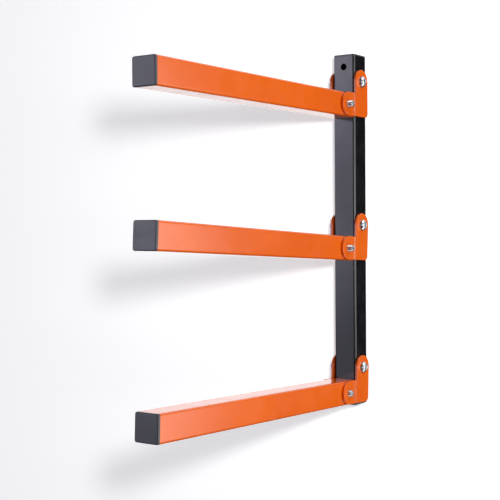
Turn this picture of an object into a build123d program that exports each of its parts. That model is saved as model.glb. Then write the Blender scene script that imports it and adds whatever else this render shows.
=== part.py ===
from build123d import *
import os
from math import cos, radians, sin, sqrt

# Wall-mounted storage rack: one square-tube upright that is screwed to a wall,
# and three square-tube arms, each carried between two bent L plates on a pivot
# bolt, so that the arm rests on the upright when level and folds up when free.
#
# Frame: +Z up, +X to the right seen from the front, the wall is the plane Y = 0
# and the arms point along -Y.  The origin is on the back face of the upright,
# half way between the two wall-screw holes.

os.makedirs("parts", exist_ok=True)

# ---------------------------------------------------------------- dimensions
tube = 30.0                # side of the square tubes
wall = 1.5                 # tube wall
tube_r = 2.5               # outside corner radius of the tubes

upright_len = 437.0        # upright tube without its caps
upright_cap_rim = 2.0      # rim of an upright cap, beyond the tube
wall_hole_d = 8.5          # wall-screw holes, through front and back walls
wall_hole_pitch = 410.0    # distance between the two wall-screw holes

arm_reach = 380.0          # front face of the upright to the face of the end cap
arm_cap_rim = 3.0          # rim of an arm cap, beyond the tube
arm_gap = 0.2              # powder-coat gap between a level arm and the upright

plate_t = 3.0              # bracket plate thickness
foot_w = 29.0              # width of a bracket's foot, level with the arm's upper face
joggle = 1.0               # sideways set of the limb, clear of the upright
limb_r = 15.0              # full-round top of the limb, half its width
heel_r = 6.0               # rounded rear bottom corner
bend_r = 0.8               # easing of the two bends of the joggle
bend_y = -16.5             # local Y where the joggle starts on the inner face, ahead of the limb

pivot_back = 17.5          # wall plane to pivot axis
pivot_rise = 30.0          # arm centre line to pivot axis
arm_bolt_y = -31.0         # local Y of the arm bolt, ahead of the pivot axis

pivot_d = 8.0              # pivot bolt, M8
bolt_head_d = 14.0         # button head
bolt_head_h = 4.4
socket_af = 5.0
socket_depth = 2.6
nut_af = 13.0              # thin lock nut, M8
nut_hex_h = 4.3
nut_h = 5.5
thread_gap = 0.02          # nut thread on bolt, radial
washer_d = 15.0
washer_t = 1.0
sleeve_d = 12.0            # crush sleeve inside the upright
sleeve_bore = 8.1          # running fit on the pivot bolt
spacer_d = 18.0            # spacer washers between upright and bracket plates

# arm centre heights above the origin, rest tilt (degrees, tip up), and how far
# the end of the arm bolt stands out of the right-hand plate
levels = {
    "top": (156.0, 0.0, 6.5),
    "middle": (-24.0, 3.3, 6.5),
    "bottom": (-203.5, 2.4, 4.0),
}

half = tube / 2
inner = tube - 2 * wall
inner_r = tube_r - wall
upright_top = upright_len / 2
limb_in = half + joggle            # inner face of a bracket's upright limb
limb_out = limb_in + plate_t       # outer face of it
foot_out = half + plate_t          # outer face of a bracket's foot
foot_top = half - pivot_rise       # local Z of the foot's upper and lower edges
foot_low = foot_top - foot_w

# local Y of the two ends of an arm tube, from the pivot axis
arm_rear = pivot_back - tube - arm_gap
arm_front = pivot_back - tube - arm_reach + arm_cap_rim

# bent section of a right-hand plate seen from above: (X, local Y) corners,
# inner face first, with both bends at 45 degrees and the same thickness
bend_shift = plate_t * (sqrt(2) - 1)
foot_tip = arm_bolt_y - foot_w / 2 - 1
bent_section = [
    (half, foot_tip), (half, bend_y), (limb_in, bend_y + joggle), (limb_in, limb_r + 1),
    (limb_out, limb_r + 1), (limb_out, bend_y + joggle - bend_shift),
    (foot_out, bend_y - bend_shift), (foot_out, foot_tip),
]
bend_lines = [bend_y, bend_y + joggle, bend_y + joggle - bend_shift, bend_y - bend_shift]


def save(piece, name):
    piece.part.label = name
    export_step(piece.part, f"parts/{name}.step")


# ---------------------------------------------------------------- the upright
# pivot axes: the pivot stands straight above the rear end of the arm at rest
pivots = {name: z + pivot_rise for name, (z, tilt, proud) in levels.items()}

with BuildPart() as upright_tube:
    with BuildSketch(Plane((0, -half, -upright_top))):
        RectangleRounded(tube, tube, tube_r)
        RectangleRounded(inner, inner, inner_r, mode=Mode.SUBTRACT)
    extrude(amount=upright_len)
    # wall-screw holes, straight through from front to back
    with BuildSketch(Plane.XZ.offset(-1)):
        with Locations((0, wall_hole_pitch / 2), (0, -wall_hole_pitch / 2)):
            Circle(wall_hole_d / 2)
    extrude(amount=tube + 2, mode=Mode.SUBTRACT)
    # pivot-bolt holes, straight through from side to side
    with BuildSketch(Plane.YZ.offset(-half - 1)):
        with Locations(*[(-pivot_back, z) for z in pivots.values()]):
            Circle(sleeve_bore / 2)
    extrude(amount=tube + 2, mode=Mode.SUBTRACT)
save(upright_tube, "upright_tube")


def insert_cap(base, rim, plug_len, edge_r, fins):
    """Ribbed push-in cap.  base is a plane on the tube's end face whose normal
    points out of the tube."""
    core = inner - 4.0
    with BuildPart() as cap:
        with BuildSketch(base):
            RectangleRounded(tube, tube, tube_r)
        extrude(amount=rim)
        fillet(cap.faces().sort_by(Axis(base.origin, base.z_dir))[-1].edges(), edge_r)
        # hollow plug
        with BuildSketch(base.offset(-plug_len)):
            RectangleRounded(core, core, 1.5)
        extrude(amount=plug_len)
        with BuildSketch(base.offset(-plug_len)):
            RectangleRounded(core - 4.0, core - 4.0, 1.0)
        extrude(amount=plug_len - 0.5, mode=Mode.SUBTRACT)
        # gripping fins round the plug, up to the tube's inner walls
        for k in range(fins):
            at = 1.6 + k * (plug_len - 2.6) / max(fins - 1, 1)
            with BuildSketch(base.offset(-at - 0.8)):
                RectangleRounded(inner, inner, inner_r)
                RectangleRounded(core - 1.0, core - 1.0, 1.0, mode=Mode.SUBTRACT)
            extrude(amount=0.8)
    return cap


upright_cap_top = insert_cap(Plane((0, -half, upright_top)), upright_cap_rim, 8.0, 0.8, 3)
save(upright_cap_top, "upright_cap_top")

upright_cap_bottom = insert_cap(
    Plane(origin=(0, -half, -upright_top), x_dir=(1, 0, 0), z_dir=(0, 0, -1)),
    upright_cap_rim, 8.0, 0.8, 3)
save(upright_cap_bottom, "upright_cap_bottom")


# ---------------------------------------------------------------- pivot pieces
def side_plane(level, x):
    """Plane square to the pivot axis at x: its x runs back, its y runs up."""
    return Plane(origin=level.from_local_coords((x, 0, 0)), x_dir=level.y_dir, z_dir=level.x_dir)


def along_plane(level, y):
    """Plane square to the arm at local y, facing the arm's free end."""
    return Plane(origin=level.from_local_coords((0, y, 0)), x_dir=level.x_dir, z_dir=-level.y_dir)


def button_bolt(level, y, z, seat, tip, outward):
    """Button-head bolt parallel to the pivot axis.  seat is the x of the face
    under the head, tip the x of the free end, outward +1 or -1 for the side
    that the head is on."""
    centre = level.from_local_coords((seat, y, z))
    axial = level.x_dir * outward
    head = Plane(origin=centre, x_dir=level.y_dir, z_dir=axial)
    # half section of the bolt, x is the radius and y is along the bolt
    section = Plane(origin=centre, x_dir=level.y_dir, z_dir=level.y_dir.cross(axial))
    length = abs(seat - tip)
    with BuildPart() as bolt:
        with BuildSketch(section):
            with BuildLine():
                Polyline((0, -length), (pivot_d / 2 - 0.9, -length), (pivot_d / 2, -length + 0.9),
                         (pivot_d / 2, 0), (bolt_head_d / 2, 0), (bolt_head_d / 2, 0.5))
                RadiusArc((bolt_head_d / 2, 0.5), (3.6, bolt_head_h), -5.2)
                Polyline((3.6, bolt_head_h), (0, bolt_head_h), (0, -length))
            make_face()
        revolve(axis=Axis(centre, axial))
        with BuildSketch(head.offset(bolt_head_h)):
            RegularPolygon(socket_af / 2, 6, major_radius=False)
        extrude(amount=-socket_depth, mode=Mode.SUBTRACT)
    return bolt


for name, (z_arm, tilt, proud) in levels.items():
    # level frame: origin on the pivot axis at mid width, y_dir back along the
    # arm, z_dir square to it; the whole arm leans about the pivot by its tilt
    level = Plane(origin=(0, -pivot_back, pivots[name]), x_dir=(1, 0, 0),
                  z_dir=(0, sin(radians(tilt)), cos(radians(tilt))))
    pivot_axis = Axis(level.origin, level.x_dir)

    # -- carried by the upright ------------------------------------------
    with BuildPart() as pivot_sleeve:
        with BuildSketch(side_plane(level, -inner / 2)):
            Circle(sleeve_d / 2)
            Circle(sleeve_bore / 2, mode=Mode.SUBTRACT)
        extrude(amount=inner)
    save(pivot_sleeve, f"{name}_pivot_sleeve")

    with BuildPart() as pivot_spacers:
        for x in (-limb_in, half):
            with BuildSketch(side_plane(level, x)):
                Circle(spacer_d / 2)
                Circle(sleeve_bore / 2, mode=Mode.SUBTRACT)
            extrude(amount=joggle)
    save(pivot_spacers, f"{name}_pivot_spacers")

    # -- the arm -----------------------------------------------------------
    with BuildPart() as arm_tube:
        with BuildSketch(along_plane(level, arm_rear)):
            with Locations((0, -pivot_rise)):
                RectangleRounded(tube, tube, tube_r)
                RectangleRounded(inner, inner, inner_r, mode=Mode.SUBTRACT)
        extrude(amount=arm_rear - arm_front)
        with BuildSketch(side_plane(level, -half - 1)):
            with Locations((arm_bolt_y, -pivot_rise)):
                Circle(pivot_d / 2 + 0.25)
        extrude(amount=tube + 2, mode=Mode.SUBTRACT)
    save(arm_tube, f"{name}_arm_tube")

    end_face = along_plane(level, arm_front)
    arm_end_cap = insert_cap(
        Plane(origin=end_face.from_local_coords((0, -pivot_rise, 0)),
              x_dir=end_face.x_dir, z_dir=end_face.z_dir),
        arm_cap_rim, 16.0, 1.2, 5)
    save(arm_end_cap, f"{name}_arm_end_cap")

    # -- bent L plates, one each side --------------------------------------
    for side, label in ((1, "right"), (-1, "left")):
        with BuildPart() as bracket:
            # outline seen from the side
            with BuildSketch(side_plane(level, half - 1 if side > 0 else -limb_out - 1)):
                with BuildLine():
                    Line((-limb_r, 0), (-limb_r, foot_top))
                    Line((-limb_r, foot_top), (arm_bolt_y, foot_top))
                    ThreePointArc((arm_bolt_y, foot_top),
                                  (arm_bolt_y - foot_w / 2, (foot_top + foot_low) / 2),
                                  (arm_bolt_y, foot_low))
                    Line((arm_bolt_y, foot_low), (limb_r - heel_r, foot_low))
                    RadiusArc((limb_r - heel_r, foot_low), (limb_r, foot_low + heel_r), -heel_r)
                    Line((limb_r, foot_low + heel_r), (limb_r, 0))
                    ThreePointArc((limb_r, 0), (0, limb_r), (-limb_r, 0))
                make_face()
            extrude(amount=joggle + plate_t + 2)
            # bent section seen from above, the same all the way up
            with BuildSketch(level.offset(-pivot_rise - limb_r - 1)):
                with BuildLine():
                    Polyline(*[(side * x, y) for x, y in bent_section], close=True)
                make_face()
            extrude(amount=pivot_rise + 2 * limb_r + 2, mode=Mode.INTERSECT)
            # ease the two bends, inside and outside
            bends = (bracket.edges().filter_by(GeomType.LINE)
                     .filter_by(lambda e: abs(e.tangent_at(0.5).dot(level.z_dir)) > 0.999
                                and any(abs((e.center() - level.origin).dot(level.y_dir) - y) < 0.01
                                        for y in bend_lines)))
            fillet(bends, bend_r)
            with BuildSketch(side_plane(level, -30)):
                Circle(pivot_d / 2 + 0.1)
                with Locations((arm_bolt_y, -pivot_rise)):
                    Circle(pivot_d / 2 + 0.05)
            extrude(amount=60, mode=Mode.SUBTRACT)
        save(bracket, f"{name}_bracket_{label}")

    # -- pivot bolt, washer and lock nut -----------------------------------
    nut_seat = -limb_out - washer_t
    pivot_bolt = button_bolt(level, 0, 0, limb_out, nut_seat - nut_h - 0.8, 1)
    save(pivot_bolt, f"{name}_pivot_bolt")

    with BuildPart() as pivot_washer:
        with BuildSketch(side_plane(level, nut_seat)):
            Circle(washer_d / 2)
            Circle(pivot_d / 2 + 0.2, mode=Mode.SUBTRACT)
        extrude(amount=washer_t)
    save(pivot_washer, f"{name}_pivot_washer")

    nut_plane = Plane(origin=level.from_local_coords((nut_seat, 0, 0)),
                      x_dir=level.y_dir, z_dir=-level.x_dir)
    nut_section = Plane(origin=nut_plane.origin, x_dir=level.y_dir,
                        z_dir=level.y_dir.cross(-level.x_dir))
    with BuildPart() as pivot_nut:
        with BuildSketch(nut_plane):
            RegularPolygon(nut_af / 2, 6, major_radius=False)
        extrude(amount=nut_h)
        # domed collar and chamfered corners
        with BuildSketch(nut_section):
            with BuildLine():
                Polyline((0, 0), (nut_af / 2 - 0.1, 0), (nut_af / 2 + 1.2, 0.75),
                         (nut_af / 2 + 1.2, nut_hex_h - 1.3), (nut_af / 2 - 0.2, nut_hex_h - 0.4),
                         (nut_af / 2 - 0.7, nut_h - 0.5), (nut_af / 2 - 1.3, nut_h),
                         (0, nut_h), (0, 0))
            make_face()
        revolve(axis=Axis(nut_plane.origin, -level.x_dir), mode=Mode.INTERSECT)
        with BuildSketch(nut_plane):
            Circle(pivot_d / 2 + thread_gap)
        extrude(amount=nut_h, mode=Mode.SUBTRACT)
        with BuildSketch(nut_plane.offset(nut_h - 2.2)):
            Circle(pivot_d / 2 + 1.3)
        extrude(amount=1.7, mode=Mode.SUBTRACT)
        with BuildSketch(nut_plane.offset(nut_h - 0.6)):
            Circle(pivot_d / 2 + 0.6)
        extrude(amount=1.0, mode=Mode.SUBTRACT)
    save(pivot_nut, f"{name}_pivot_nut")

    with BuildPart() as nut_insert:
        with BuildSketch(nut_plane.offset(nut_h - 2.2)):
            Circle(pivot_d / 2 + 1.3)
            Circle(pivot_d / 2 + thread_gap, mode=Mode.SUBTRACT)
        extrude(amount=1.7)
    save(nut_insert, f"{name}_pivot_nut_insert")

    # -- arm bolt, headed on the left and screwed through the right plate ---
    arm_bolt = button_bolt(level, arm_bolt_y, -pivot_rise, -foot_out, foot_out + proud, -1)
    save(arm_bolt, f"{name}_arm_bolt")
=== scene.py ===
import math

import bmesh
import bpy
from mathutils import Matrix, Vector
from mathutils.geometry import tessellate_polygon


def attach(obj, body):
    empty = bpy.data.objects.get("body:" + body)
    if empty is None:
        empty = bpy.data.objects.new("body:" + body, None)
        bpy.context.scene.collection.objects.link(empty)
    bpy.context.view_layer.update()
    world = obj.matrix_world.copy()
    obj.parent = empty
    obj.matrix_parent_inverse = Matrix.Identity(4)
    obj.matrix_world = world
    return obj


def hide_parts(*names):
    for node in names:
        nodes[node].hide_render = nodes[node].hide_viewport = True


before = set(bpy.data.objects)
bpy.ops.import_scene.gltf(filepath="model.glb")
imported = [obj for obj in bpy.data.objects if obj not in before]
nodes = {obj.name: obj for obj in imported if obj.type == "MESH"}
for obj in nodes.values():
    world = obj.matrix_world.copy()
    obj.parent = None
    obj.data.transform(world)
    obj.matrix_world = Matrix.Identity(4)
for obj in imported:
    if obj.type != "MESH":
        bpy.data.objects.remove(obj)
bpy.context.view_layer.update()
scene = bpy.context.scene
MM = 0.001

# --------------------------------------------------------------------------
# dimensions that the looks share with the CAD model, in millimetres
# --------------------------------------------------------------------------
HALF = 15.0                 # half of the square tubes
LIMB_R = 15.0
PLATE_T = 3.0
JOGGLE = 1.0
BEND_Y = -16.5
HEEL_R = 6.0
BACK = 17.5
RISE = 30.0
ARM_BOLT_Y = -31.0
FOOT_TOP = HALF - RISE
FOOT_LOW = FOOT_TOP - 29.0
LIMB_OUT = HALF + JOGGLE + PLATE_T
FOOT_OUT = HALF + PLATE_T
BEND_SHIFT = PLATE_T * (math.sqrt(2) - 1)
LEVELS = {"top": (156.0, 0.0, 6.5), "middle": (-24.0, 3.3, 6.5), "bottom": (-203.5, 2.4, 4.0)}


def level_matrix(name):
    """Millimetres in the arm's own frame (origin on its pivot axis) to metres in the row frame."""
    z_arm, tilt, _ = LEVELS[name]
    a = math.radians(tilt)
    x = Vector((1, 0, 0))
    z = Vector((0, math.sin(a), math.cos(a)))
    y = z.cross(x)
    m = Matrix((x, y, z)).transposed().to_4x4()
    m.translation = Vector((0, -BACK, z_arm + RISE)) * MM
    return m @ Matrix.Scale(MM, 4)


# --------------------------------------------------------------------------
# node helpers
# --------------------------------------------------------------------------
class Tree:
    def __init__(self, name):
        self.mat = bpy.data.materials.new(name)
        self.mat.use_nodes = True
        self.nt = self.mat.node_tree
        self.nt.nodes.clear()
        self.out = self.nt.nodes.new("ShaderNodeOutputMaterial")
        self.bsdf = self.nt.nodes.new("ShaderNodeBsdfPrincipled")
        self.nt.links.new(self.bsdf.outputs[0], self.out.inputs["Surface"])
        self.coord = self.node("ShaderNodeTexCoord").outputs["Object"]

    def node(self, kind, **props):
        n = self.nt.nodes.new(kind)
        for k, v in props.items():
            setattr(n, k, v)
        return n

    def link(self, a, b):
        self.nt.links.new(a, b)

    def set(self, **values):
        for k, v in values.items():
            self.bsdf.inputs[k.replace("_", " ")].default_value = v

    def mapping(self, scale=(1, 1, 1), rotation=(0, 0, 0), location=(0, 0, 0), source=None):
        m = self.node("ShaderNodeMapping")
        m.inputs["Scale"].default_value = scale
        m.inputs["Rotation"].default_value = rotation
        m.inputs["Location"].default_value = location
        self.link(source or self.coord, m.inputs["Vector"])
        return m.outputs[0]

    def noise(self, scale, detail=3.0, rough=0.5, vector=None, distortion=0.0, out="Fac"):
        n = self.node("ShaderNodeTexNoise")
        n.inputs["Scale"].default_value = scale
        n.inputs["Detail"].default_value = detail
        n.inputs["Roughness"].default_value = rough
        n.inputs["Distortion"].default_value = distortion
        self.link(vector or self.coord, n.inputs["Vector"])
        return n.outputs[out]

    def voronoi(self, scale, vector=None, feature="F1", smooth=None, out="Distance"):
        n = self.node("ShaderNodeTexVoronoi", feature=feature)
        n.inputs["Scale"].default_value = scale
        if smooth is not None:
            n.inputs["Smoothness"].default_value = smooth
        self.link(vector or self.coord, n.inputs["Vector"])
        return n.outputs[out]

    def remap(self, value, lo, hi, a, b, kind="SMOOTHSTEP"):
        n = self.node("ShaderNodeMapRange", interpolation_type=kind)
        for k, v in (("From Min", lo), ("From Max", hi), ("To Min", a), ("To Max", b)):
            n.inputs[k].default_value = v
        self.link(value, n.inputs["Value"])
        return n.outputs[0]

    def math(self, op, a, b=None, clamp=False):
        n = self.node("ShaderNodeMath", operation=op, use_clamp=clamp)
        for i, v in enumerate((a, b)):
            if v is None:
                continue
            if isinstance(v, (int, float)):
                n.inputs[i].default_value = v
            else:
                self.link(v, n.inputs[i])
        return n.outputs[0]

    def mix(self, fac, a, b):
        n = self.node("ShaderNodeMix", data_type="RGBA")
        for i, v in ((0, fac), (6, a), (7, b)):
            if isinstance(v, (int, float)):
                n.inputs[i].default_value = v
            elif isinstance(v, tuple):
                n.inputs[i].default_value = v if len(v) == 4 else (*v, 1.0)
            else:
                self.link(v, n.inputs[i])
        return n.outputs[2]

    def bump(self, height, strength, distance, normal=None):
        n = self.node("ShaderNodeBump")
        n.inputs["Strength"].default_value = strength
        n.inputs["Distance"].default_value = distance
        self.link(height, n.inputs["Height"])
        if normal is not None:
            self.link(normal, n.inputs["Normal"])
        return n.outputs[0]


def powder_coat(name, dark, mid, light, rough, coat, peel, specular=0.5):
    """Sprayed and baked powder coat: orange peel, faint mottling, dust and hairline scuffs."""
    t = Tree(name)
    cloud = t.noise(9.0, 4.0, 0.55)
    fine = t.noise(420.0, 2.0, 0.6)
    base = t.mix(t.remap(cloud, 0.35, 0.68, 0.0, 1.0), dark, mid)
    base = t.mix(t.remap(fine, 0.58, 0.80, 0.0, 0.35), base, light)
    # sparse specks of dust baked into the coat
    speck = t.voronoi(260.0, out="Distance")
    speck_on = t.math("MULTIPLY", t.remap(speck, 0.05, 0.12, 1.0, 0.0),
                      t.remap(t.noise(70.0, 1.0), 0.62, 0.70, 0.0, 1.0))
    base = t.mix(t.math("MULTIPLY", speck_on, 0.10), base, light)
    # hairline scuffs along and across the stock's direction
    scuff = t.noise(1.0, 5.0, 0.65, vector=t.mapping(scale=(900.0, 60.0, 900.0), rotation=(0.15, 0.02, 0.31)))
    scuff_on = t.math("MULTIPLY", t.remap(scuff, 0.70, 0.78, 0.0, 1.0), t.remap(t.noise(26.0, 2.0), 0.55, 0.75, 0.0, 1.0))
    roughness = t.math("ADD", t.remap(t.noise(55.0, 3.0), 0.3, 0.7, rough - 0.03, rough + 0.04),
                       t.math("MULTIPLY", scuff_on, 0.08))
    t.link(base, t.bsdf.inputs["Base Color"])
    t.link(roughness, t.bsdf.inputs["Roughness"])
    peel_big = t.noise(650.0, 2.0, 0.5)
    peel_small = t.voronoi(1700.0, feature="SMOOTH_F1", smooth=0.7)
    height = t.math("ADD", peel_big, t.math("MULTIPLY", peel_small, 0.28))
    height = t.math("ADD", height, t.math("MULTIPLY", speck_on, 0.35))
    t.link(t.bump(height, peel, 0.00003), t.bsdf.inputs["Normal"])
    t.link(t.bump(t.noise(300.0, 1.5, 0.5), peel * 0.6, 0.00003), t.bsdf.inputs["Coat Normal"])
    t.set(Coat_Weight=coat, Coat_Roughness=0.07, Coat_IOR=1.5, IOR=1.5, Specular_IOR_Level=specular)
    return t.mat


def moulded_plastic(name, colour, light, rough):
    t = Tree(name)
    grain = t.voronoi(2600.0, feature="F1")
    grain2 = t.noise(1500.0, 3.0, 0.6)
    flow = t.noise(14.0, 3.0, 0.6, vector=t.mapping(scale=(1.0, 1.0, 2.4)), distortion=0.6)
    base = t.mix(t.remap(flow, 0.35, 0.7, 0.0, 0.7), colour, light)
    dust = t.remap(t.noise(110.0, 4.0, 0.7), 0.60, 0.78, 0.0, 0.20)
    base = t.mix(dust, base, (0.20, 0.20, 0.22))
    t.link(base, t.bsdf.inputs["Base Color"])
    t.link(t.remap(t.math("ADD", t.math("MULTIPLY", flow, 0.6), t.math("MULTIPLY", grain2, 0.4)), 0.3, 0.7, rough - 0.06, rough + 0.08),
           t.bsdf.inputs["Roughness"])
    height = t.math("ADD", t.math("MULTIPLY", grain, 0.6), t.math("MULTIPLY", grain2, 0.4))
    t.link(t.bump(height, 0.35, 0.00004), t.bsdf.inputs["Normal"])
    t.set(IOR=1.5, Specular_IOR_Level=0.9, Coat_Weight=0.3, Coat_Roughness=0.32)
    return t.mat


def zinc(name, turned=None):
    """Bright zinc plating: crystalline tint, spangle and soft grain.  turned is the
    (y, z) in metres of an axis along X that the piece was turned about."""
    t = Tree(name)
    tint = t.noise(160.0, 4.0, 0.6)
    spangle = t.voronoi(900.0, out="Color")
    sep = t.node("ShaderNodeSeparateColor")
    t.link(spangle, sep.inputs[0])
    base = t.mix(t.remap(tint, 0.35, 0.65, 0.0, 1.0), (0.60, 0.63, 0.70), (0.76, 0.75, 0.72))
    base = t.mix(t.math("MULTIPLY", sep.outputs[0], 0.25), base, (0.52, 0.57, 0.66))
    t.link(base, t.bsdf.inputs["Base Color"])
    rough = t.remap(t.noise(240.0, 4.0, 0.65), 0.3, 0.7, 0.20, 0.36)
    t.link(rough, t.bsdf.inputs["Roughness"])
    height = t.noise(1400.0, 3.0, 0.6)
    if turned is not None:
        m = t.mapping(location=(0, -turned[0], -turned[1]), scale=(0.0, 1.0, 1.0))
        length = t.node("ShaderNodeVectorMath", operation="LENGTH")
        t.link(m, length.inputs[0])
        ring = t.math("SINE", t.math("MULTIPLY", length.outputs["Value"], 2 * math.pi / 0.00038))
        height = t.math("ADD", height, t.math("MULTIPLY", ring, 0.30))
    t.link(t.bump(height, 0.30, 0.00003), t.bsdf.inputs["Normal"])
    t.set(Metallic=1.0)
    return t.mat


def nylon_mat(name):
    t = Tree(name)
    t.link(t.mix(t.noise(300.0, 3.0), (0.55, 0.60, 0.68), (0.80, 0.82, 0.85)), t.bsdf.inputs["Base Color"])
    t.link(t.remap(t.noise(500.0, 2.0), 0.3, 0.7, 0.32, 0.48), t.bsdf.inputs["Roughness"])
    t.link(t.bump(t.noise(1800.0, 2.0), 0.3, 0.00003), t.bsdf.inputs["Normal"])
    t.set(Subsurface_Weight=0.2, Subsurface_Scale=0.001)
    return t.mat


ORANGE = powder_coat("orange_powder_coat", (0.91, 0.130, 0.0006), (0.96, 0.148, 0.0008), (0.97, 0.20, 0.005), 0.19, 0.60, 0.22)
CHARCOAL = powder_coat("charcoal_powder_coat", (0.0022, 0.0020, 0.0034), (0.0036, 0.0033, 0.0052), (0.014, 0.013, 0.018), 0.15, 0.55, 0.24, 0.5)
BLACK = moulded_plastic("black_plastic", (0.014, 0.0132, 0.020), (0.020, 0.0192, 0.028), 0.34)
NYLON = nylon_mat("nylon")
ZINC = zinc("zinc_plate")
ZINC_TURNED = {}


def paint(obj, material):
    obj.data.materials.clear()
    obj.data.materials.append(material)


def smooth_by_angle(obj, degrees=32.0):
    bm = bmesh.new()
    bm.from_mesh(obj.data)
    limit = math.radians(degrees)
    for f in bm.faces:
        f.smooth = True
    for e in bm.edges:
        e.smooth = not (len(e.link_faces) != 2 or e.calc_face_angle(0.0) > limit)
    bm.to_mesh(obj.data)
    bm.free()


def new_piece(name, bm, matrix, material, body, replaced=(), weighted=True, angle=32.0):
    bmesh.ops.recalc_face_normals(bm, faces=bm.faces)
    if bm.calc_volume(signed=True) < 0:
        bmesh.ops.reverse_faces(bm, faces=bm.faces)
    mesh = bpy.data.meshes.new(name)
    bm.to_mesh(mesh)
    bm.free()
    mesh.transform(matrix)
    obj = bpy.data.objects.new(name, mesh)
    scene.collection.objects.link(obj)
    paint(obj, material)
    smooth_by_angle(obj, angle)
    if weighted:
        mod = obj.modifiers.new("weighted", "WEIGHTED_NORMAL")
        mod.mode = "FACE_AREA"
        mod.weight = 60
        mod.keep_sharp = True
    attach(obj, body)
    if replaced:
        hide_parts(*replaced)
    return obj


# --------------------------------------------------------------------------
# bracket plates: pressed 3 mm plate with softened outline and two smooth bends
# --------------------------------------------------------------------------
def arc(cy, cz, r, a0, a1, n):
    return [(cy + r * math.cos(a0 + (a1 - a0) * i / n), cz + r * math.sin(a0 + (a1 - a0) * i / n)) for i in range(n + 1)]


def outline(inset):
    """Outline of a plate seen from the side, (y, z) in the arm's frame, drawn in by inset."""
    d = inset
    concave = 1.0 + d
    pts = []
    pts += arc(0, 0, LIMB_R - d, 0, math.pi, 40)                                     # limb top, back to front
    cy, cz = -LIMB_R - 1.0, FOOT_TOP + 1.0                                           # inner corner
    pts += arc(cy, cz, concave, 0, -math.pi / 2, 6)
    mid, r = (FOOT_TOP + FOOT_LOW) / 2, (FOOT_TOP - FOOT_LOW) / 2 - d
    pts += arc(ARM_BOLT_Y, mid, r, math.pi / 2, 3 * math.pi / 2, 40)                  # foot
    pts += arc(LIMB_R - HEEL_R, FOOT_LOW + HEEL_R, HEEL_R - d, -math.pi / 2, 0, 12)   # heel
    return pts


def hole(cy, cz, r, inset, n=48):
    return [(cy + (r + inset) * math.cos(-2 * math.pi * i / n), cz + (r + inset) * math.sin(-2 * math.pi * i / n)) for i in range(n)]


def bend(u):
    """Sideways set of the plate at a distance u past the start of its joggle, with both bends eased."""
    e, j = 0.25, JOGGLE
    if u <= -e:
        return 0.0
    if u < e:
        return (u + e) ** 2 / (4 * e)
    if u <= j - e:
        return u
    if u < j + e:
        return j - (j + e - u) ** 2 / (4 * e)
    return j


def bracket(name, side):
    edge = 0.45
    steps = 4
    rings = []
    for i in range(steps + 1):
        a = math.pi / 2 * i / steps
        rings.append((edge * (1 - math.sin(a)), edge * (1 - math.cos(a))))
    rings += [(r[0], PLATE_T - r[1]) for r in reversed(rings)]
    loops = [
        lambda d: outline(d),
        lambda d: hole(0, 0, 4.1, d),
        lambda d: hole(ARM_BOLT_Y, -RISE, 4.05, d),
    ]
    bm = bmesh.new()
    caps = {0: [], 1: []}
    for loop in loops:
        grid = [[bm.verts.new((h, y, z)) for y, z in loop(d)] for d, h in rings]
        n = len(grid[0])
        for a, b in zip(grid, grid[1:]):
            for i in range(n):
                j = (i + 1) % n
                bm.faces.new((a[i], a[j], b[j], b[i]))
        caps[0].append(grid[0])
        caps[1].append(grid[-1])
    for k in (0, 1):
        polys = [[v.co.copy() for v in ring] for ring in caps[k]]
        flat = [v for ring in caps[k] for v in ring]
        for tri in tessellate_polygon(polys):
            try:
                bm.faces.new([flat[i] for i in tri])
            except ValueError:
                pass
    bmesh.ops.remove_doubles(bm, verts=bm.verts, dist=1e-5)
    for s in (0.0, 1.0):
        for u in (-0.25, -0.08, 0.08, 0.25, JOGGLE - 0.25, JOGGLE - 0.08, JOGGLE + 0.08, JOGGLE + 0.25):
            y = BEND_Y + u - BEND_SHIFT * s
            bmesh.ops.bisect_plane(bm, geom=list(bm.verts) + list(bm.edges) + list(bm.faces), dist=1e-4,
                                   plane_co=(0, y, 0), plane_no=(0, 1, 0))
    for v in bm.verts:
        s = v.co.x / PLATE_T
        v.co.x = side * (HALF + v.co.x + bend(v.co.y - BEND_Y + BEND_SHIFT * s))
    label = "right" if side > 0 else "left"
    return new_piece(f"{name}_bracket_{label}_plate", bm, level_matrix(name), ORANGE, f"{name}_arm",
                     [f"{name}_bracket_{label}"])


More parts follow.
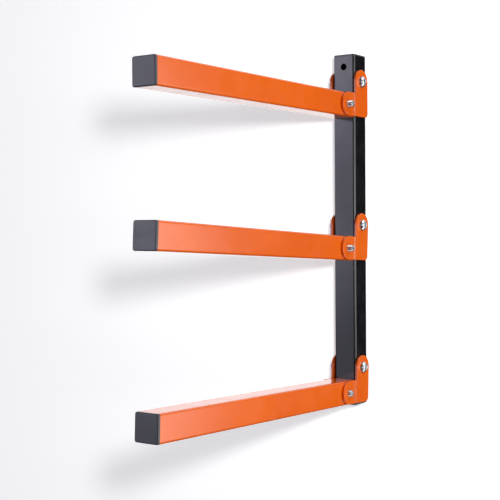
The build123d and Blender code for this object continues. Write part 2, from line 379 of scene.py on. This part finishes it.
# --------------------------------------------------------------------------
# bolts: domed head with a real hex recess, plain shank and rolled thread
# --------------------------------------------------------------------------
def bolt(name, kind, y0, z0, seat, tip, outward, plain, material):
    """Shank along X.  seat: x under the head, tip: x of the free end, plain: length of unthreaded shank."""
    bm = bmesh.new()
    seg = 96
    r0 = 4.0
    pitch = 1.25
    depth = 0.62
    length = abs(seat - tip)
    direction = -outward

    def ring(axial, radius_of):
        out = []
        for i in range(seg):
            a = 2 * math.pi * i / seg
            r = radius_of(a)
            out.append(bm.verts.new((seat + direction * axial, y0 + r * math.cos(a), z0 + r * math.sin(a))))
        return out

    def skin(a, b):
        for i in range(seg):
            j = (i + 1) % seg
            bm.faces.new((a[i], a[j], b[j], b[i]))

    # head, from the recess floor outwards and round to the seat
    h, rh = 4.4, 7.0
    hexr = lambda a: 2.5 / math.cos(((a + math.pi / 6) % (math.pi / 3)) - math.pi / 6)
    rows = [
        ring(-(h - 3.3), lambda a: 0.05),
        ring(-(h - 3.0), lambda a: 1.5),
        ring(-(h - 2.6), lambda a: hexr(a) * 0.985),
        ring(-(h - 0.35), lambda a: hexr(a)),
        ring(-(h - 0.12), lambda a: hexr(a) + 0.10),
        ring(-h, lambda a: max(hexr(a) + 0.32, 3.05)),
        ring(-h, lambda a: 3.55),
    ]
    # dome as an arc from (3.6, h) to (rh, 0.6)
    cx_r, dome = 5.2, []
    p, q = Vector((3.6, h)), Vector((rh, 0.6))
    d = q - p
    off = math.sqrt(cx_r ** 2 - (d.length / 2) ** 2)
    centre = (p + q) / 2 + Vector((d.y, -d.x)).normalized() * off
    a0 = math.atan2(p.y - centre.y, p.x - centre.x)
    a1 = math.atan2(q.y - centre.y, q.x - centre.x)
    for i in range(11):
        a = a0 + (a1 - a0) * i / 10
        dome.append((centre.x + cx_r * math.cos(a), centre.y + cx_r * math.sin(a)))
    for r, z in dome:
        rows.append(ring(-z, lambda a, r=r: r))
    rows.append(ring(-0.30, lambda a: rh))
    rows.append(ring(-0.10, lambda a: rh - 0.08))
    rows.append(ring(0.0, lambda a: rh - 0.3))
    rows.append(ring(0.0, lambda a: 4.35))
    rows.append(ring(0.35, lambda a: r0))
    if plain > 0.5:
        rows.append(ring(plain, lambda a: r0))
    # thread: a helical groove that runs out at both ends
    step = pitch / 14
    n = int((length - plain) / step)
    for i in range(1, n):
        s = plain + i * step
        fade = min((s - plain) / (pitch * 1.2), 1.0)
        tip_in = max(0.0, 1.0 - (length - s) / 1.1) * 0.85

        def radius(a, s=s, fade=fade, tip_in=tip_in):
            ph = ((s / pitch) + direction * outward * a / (2 * math.pi)) % 1.0
            tri = abs(ph - 0.5) * 2.0
            groove = min(max((tri - 0.12) / 0.76, 0.0), 1.0)
            groove = groove * groove * (3 - 2 * groove) * 0.35 + groove * 0.65
            return r0 - depth * (1 - groove) * fade - tip_in
        rows.append(ring(s, radius))
    rows.append(ring(length, lambda a: r0 - 0.95))
    rows.append(ring(length, lambda a: 0.05))
    for a, b in zip(rows, rows[1:]):
        skin(a, b)
    bm.faces.new(rows[0])
    bm.faces.new(rows[-1])
    return new_piece(f"{name}_{kind}_threaded", bm, level_matrix(name), material, f"{name}_arm",
                     [f"{name}_{kind}"], angle=40.0)


def turned_zinc(name, y_mm, z_mm, key):
    p = level_matrix(name) @ Vector((0, y_mm, z_mm))
    return zinc(f"zinc_turned_{name}_{key}", (p.y, p.z))


for name, (z_arm, tilt, proud) in LEVELS.items():
    bracket(name, 1)
    bracket(name, -1)
    pivot_zinc = turned_zinc(name, 0, 0, "pivot")
    foot_zinc = turned_zinc(name, ARM_BOLT_Y, -RISE, "foot")
    bolt(name, "pivot_bolt", 0, 0, LIMB_OUT, -LIMB_OUT - 1.0 - 5.5 - 0.8, 1, 26.0, pivot_zinc)
    bolt(name, "arm_bolt", ARM_BOLT_Y, -RISE, -FOOT_OUT, FOOT_OUT + proud, -1, 22.0, foot_zinc)
    paint(nodes[f"{name}_pivot_washer"], pivot_zinc)
    paint(nodes[f"{name}_pivot_nut"], pivot_zinc)
    paint(nodes[f"{name}_pivot_nut_insert"], NYLON)
    paint(nodes[f"{name}_pivot_sleeve"], ZINC)
    paint(nodes[f"{name}_pivot_spacers"], BLACK)
    paint(nodes[f"{name}_arm_tube"], ORANGE)
    paint(nodes[f"{name}_arm_end_cap"], BLACK)
paint(nodes["upright_tube"], CHARCOAL)
paint(nodes["upright_cap_top"], BLACK)
paint(nodes["upright_cap_bottom"], BLACK)

# --------------------------------------------------------------------------
# stage: a pale wall behind the rack and a pale floor well below it, both
# glowing a little like a lit studio backdrop
# --------------------------------------------------------------------------
def backdrop(name, colour, glow, see_through_back=False):
    t = Tree(name)
    tone = t.noise(1.6, 2.0, 0.5)
    t.link(t.mix(t.remap(tone, 0.3, 0.7, 0.0, 1.0), colour, tuple(c * 0.985 for c in colour)), t.bsdf.inputs["Base Color"])
    t.set(Roughness=0.9, Specular_IOR_Level=0.1, Emission_Color=(1, 1, 1, 1), Emission_Strength=glow)
    if see_through_back:
        clear = t.node("ShaderNodeBsdfTransparent")
        mix = t.node("ShaderNodeMixShader")
        t.link(t.node("ShaderNodeNewGeometry").outputs["Backfacing"], mix.inputs[0])
        t.link(t.bsdf.outputs[0], mix.inputs[1])
        t.link(clear.outputs[0], mix.inputs[2])
        t.link(mix.outputs[0], t.out.inputs["Surface"])
    return t.mat


def quad(name, corners, material):
    mesh = bpy.data.meshes.new(name)
    mesh.from_pydata(corners, [], [(0, 1, 2, 3)])
    obj = bpy.data.objects.new(name, mesh)
    scene.collection.objects.link(obj)
    paint(obj, material)
    obj.visible_shadow = False
    obj.visible_glossy = False
    obj.visible_diffuse = False
    return obj


wall_y, floor_z = 0.0006, -0.62
wall = quad("wall", [(-4, wall_y, floor_z), (4, wall_y, floor_z), (4, wall_y, 3), (-4, wall_y, 3)],
            backdrop("wall_paint", (0.92, 0.92, 0.92), 0.48, True))
floor = quad("floor", [(-6, -6, floor_z), (6, -6, floor_z), (6, 6, floor_z), (-6, 6, floor_z)],
             backdrop("floor_paint", (0.86, 0.86, 0.86), 0.30))

# --------------------------------------------------------------------------
# light: soft panels all round, placed by azimuth (0 in front, 90 on the right) and elevation
# --------------------------------------------------------------------------
PANELS = [
    # azimuth, elevation, full to, gone by, strength, colour
    (-33, 14, 5, 12, 1.4, (0.96, 0.95, 1.18)),     # front left strip, seen in the upright and the caps
    (-34, 4, 4, 11, 1.35, (0.96, 0.95, 1.18)),
    (-35, -8, 4, 11, 0.75, (0.96, 0.95, 1.18)),
    (-50, 3, 4, 11, 2.9, (0.95, 0.95, 1.18)),      # beside it, for the ends of the arms
    (3, 8, 5, 13, 0.6, (1.0, 1.0, 1.03)),          # faint front fill, for the front faces seen head on
    (3, -9, 5, 13, 0.45, (1.0, 1.0, 1.03)),
    (58, 1, 4, 9, 8.8, (1.0, 1.0, 1.0)),           # narrow strip at the front right, for the bends and corners
    (116, -4, 22, 29, 2.7, (1.0, 1.0, 1.0)),       # large panel at the right
    (100, 52, 10, 26, 3.7, (1.0, 1.0, 1.0)),       # high on the right
    (100, -56, 10, 24, 2.2, (1.0, 1.0, 1.0)),      # low on the right
    (-145, 0, 15, 30, 1.15, (1.0, 0.97, 0.98)),    # behind left, for the level faces
    (-110, 28, 12, 34, 2.0, (1.0, 1.0, 1.0)),      # left fill
    (180, 42, 8, 28, 1.6, (1.0, 1.0, 1.0)),        # rear fill
]
world = bpy.data.worlds.new("studio")
scene.world = world
world.use_nodes = True
wt = world.node_tree
wt.nodes.clear()


def wnode(kind, **props):
    n = wt.nodes.new(kind)
    for k, v in props.items():
        setattr(n, k, v)
    return n


w_dir = wnode("ShaderNodeTexCoord").outputs["Generated"]
total = None
for az, el, full, gone, strength, colour in PANELS:
    a, e = math.radians(az), math.radians(el)
    dot = wnode("ShaderNodeVectorMath", operation="DOT_PRODUCT")
    dot.inputs[1].default_value = (math.sin(a) * math.cos(e), -math.cos(a) * math.cos(e), math.sin(e))
    wt.links.new(w_dir, dot.inputs[0])
    ramp = wnode("ShaderNodeMapRange", interpolation_type="SMOOTHSTEP")
    ramp.inputs["From Min"].default_value = math.cos(math.radians(gone))
    ramp.inputs["From Max"].default_value = math.cos(math.radians(full))
    wt.links.new(dot.outputs["Value"], ramp.inputs["Value"])
    tint = wnode("ShaderNodeVectorMath", operation="MULTIPLY")
    tint.inputs[1].default_value = tuple(strength * c for c in colour)
    wt.links.new(ramp.outputs[0], tint.inputs[0])
    add = wnode("ShaderNodeVectorMath", operation="ADD")
    if total is None:
        add.inputs[1].default_value = (0.03, 0.03, 0.032)
    else:
        wt.links.new(total, add.inputs[1])
    wt.links.new(tint.outputs[0], add.inputs[0])
    total = add.outputs[0]
w_env = wnode("ShaderNodeBackground")
wt.links.new(total, w_env.inputs[0])
w_seen = wnode("ShaderNodeBackground")
w_seen.inputs[0].default_value = (0.995, 0.995, 0.995, 1)
w_mix = wnode("ShaderNodeMixShader")
wt.links.new(wnode("ShaderNodeLightPath").outputs["Is Camera Ray"], w_mix.inputs[0])
wt.links.new(w_env.outputs[0], w_mix.inputs[1])
wt.links.new(w_seen.outputs[0], w_mix.inputs[2])
wt.links.new(w_mix.outputs[0], wnode("ShaderNodeOutputWorld").inputs[0])

# one lamp for the backdrop alone, which throws the rack's soft shadow down and to the left
lamp = bpy.data.lights.new("backdrop_lamp", "AREA")
lamp.shape = "DISK"
lamp.size = 0.10
lamp.energy = 11.5
lamp_obj = bpy.data.objects.new("backdrop_lamp", lamp)
lamp_obj.location = (0.750, -1.121, 0.140)
lamp_obj.rotation_euler = (Vector((0, 0, 0)) - lamp_obj.location).to_track_quat("-Z", "Y").to_euler()
lamp_obj.visible_camera = False
scene.collection.objects.link(lamp_obj)
lit = bpy.data.collections.new("lit_by_backdrop_lamp")
lit.objects.link(wall)
lit.objects.link(floor)
lamp_obj.light_linking.receiver_collection = lit

# --------------------------------------------------------------------------
# camera
# --------------------------------------------------------------------------
zoom = 1.8
f_px, yaw, pitch, roll = 582.82, math.radians(33.317), math.radians(-1.315), math.radians(-0.361)
eye = Vector((666.04, -1175.69, 10.36)) * MM
off_x, off_y = 20.5 * zoom, -2.05 * zoom
forward = Vector((-math.sin(yaw) * math.cos(pitch), math.cos(yaw) * math.cos(pitch), math.sin(pitch)))
right = forward.cross(Vector((0, 0, 1))).normalized()
up = right.cross(forward)
right, up = (right * math.cos(roll) + up * math.sin(roll)), (up * math.cos(roll) - right * math.sin(roll))
cam_data = bpy.data.cameras.new("camera")
cam_data.sensor_width = 36.0
cam_data.lens = f_px * zoom / 500.0 * 36.0
cam_data.shift_x = -off_x / 500.0
cam_data.shift_y = off_y / 500.0
cam_data.clip_start = 0.01
cam = bpy.data.objects.new("camera", cam_data)
m = Matrix((right, up, -forward)).transposed().to_4x4()
m.translation = eye
cam.matrix_world = m
scene.collection.objects.link(cam)
scene.camera = cam
scene.view_settings.view_transform = "Standard"
scene.view_settings.look = "None"
